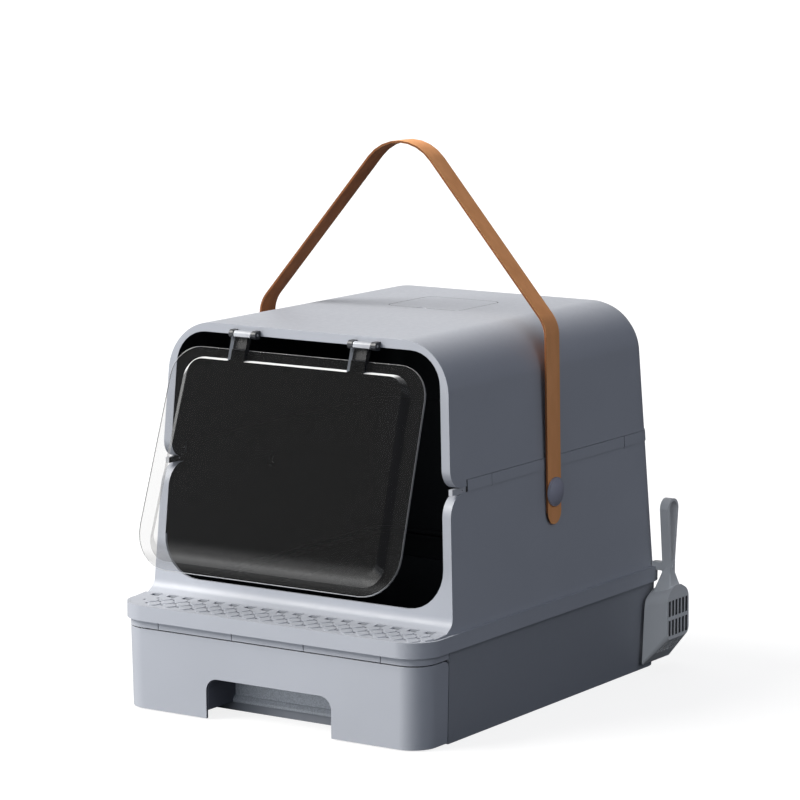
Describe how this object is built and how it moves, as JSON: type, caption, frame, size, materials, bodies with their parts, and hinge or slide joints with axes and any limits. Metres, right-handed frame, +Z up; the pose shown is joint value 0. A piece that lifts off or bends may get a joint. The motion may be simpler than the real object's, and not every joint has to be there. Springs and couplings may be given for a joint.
{
  "type": "drawer litter box",
  "caption": "Hooded pet litter box with a pull-out tray, a swinging see-through flap, a grated step, a carrying strap and a clip-on scoop.",
  "frame": {"origin": "on the floor under the middle of the base, halfway along its lip's depth", "axes": "+X to the right seen from the front, +Y to the rear, +Z up; the doorway and the drawer face -Y"},
  "size_m": [0.4277, 0.5354, 0.61],
  "materials": {
    "body_grey": "satin moulded plastic",
    "tray_grey": "fine textured moulded plastic",
    "light_grey": "satin moulded plastic",
    "dark_grey": "satin moulded plastic",
    "clear_smoke": "clear, lightly smoked, polished",
    "tan_strap": "smooth tan strap with fine grain",
    "button_grey": "satin moulded plastic",
    "steel": "turned",
    "filter_felt": "felted filter pad"
  },
  "bodies": {
    "base": {"base_shell": "body_grey", "deck": "body_grey", "step_grate": "body_grey", "scoop_hook": "light_grey"},
    "drawer": {"drawer_tray": "tray_grey", "drawer_front": "body_grey"},
    "hood": {"lower_hood": "body_grey", "upper_hood": "body_grey", "seam_clip_left": "light_grey", "seam_clip_right": "light_grey", "hinge_bracket_left": "dark_grey", "hinge_bracket_right": "dark_grey", "hinge_pin_left": "steel", "hinge_pin_right": "steel", "strap_button_left": "button_grey", "strap_button_right": "button_grey", "strap_stud_left": "steel", "strap_stud_right": "steel", "strap_nut_left": "dark_grey", "strap_nut_right": "dark_grey", "filter_basket": "tray_grey", "filter_pad": "filter_felt"},
    "flap": {"flap_door": "clear_smoke"},
    "strap": {"strap": "tan_strap"},
    "filter_lid": {"filter_lid": "body_grey"},
    "scoop": {"scoop": "light_grey"}
  },
  "joints": [
    {"name": "drawer_slide", "type": "slide", "parent": "base", "child": "drawer", "axis": [0, -1, 0], "range_m": [0, 0.4]},
    {"name": "hood_lift", "type": "slide", "parent": "base", "child": "hood", "axis": [0, 0, 1], "range_m": [0, 0.35]},
    {"name": "flap_swing", "type": "hinge", "parent": "hood", "child": "flap", "pos_m": [0, -0.1862, 0.4111], "axis": [-1, 0, 0], "range_deg": [-62, 72]},
    {"name": "strap_swing", "type": "hinge", "parent": "hood", "child": "strap", "pos_m": [0, 0.0145, 0.236], "axis": [1, 0, 0], "range_deg": [-30, 30]},
    {"name": "filter_lid_lift", "type": "slide", "parent": "hood", "child": "filter_lid", "axis": [0, 0, 1], "range_m": [0, 0.04]},
    {"name": "scoop_pull", "type": "slide", "parent": "base", "child": "scoop", "axis": [1, 0, 0], "range_m": [0, 0.08]}
  ]
}
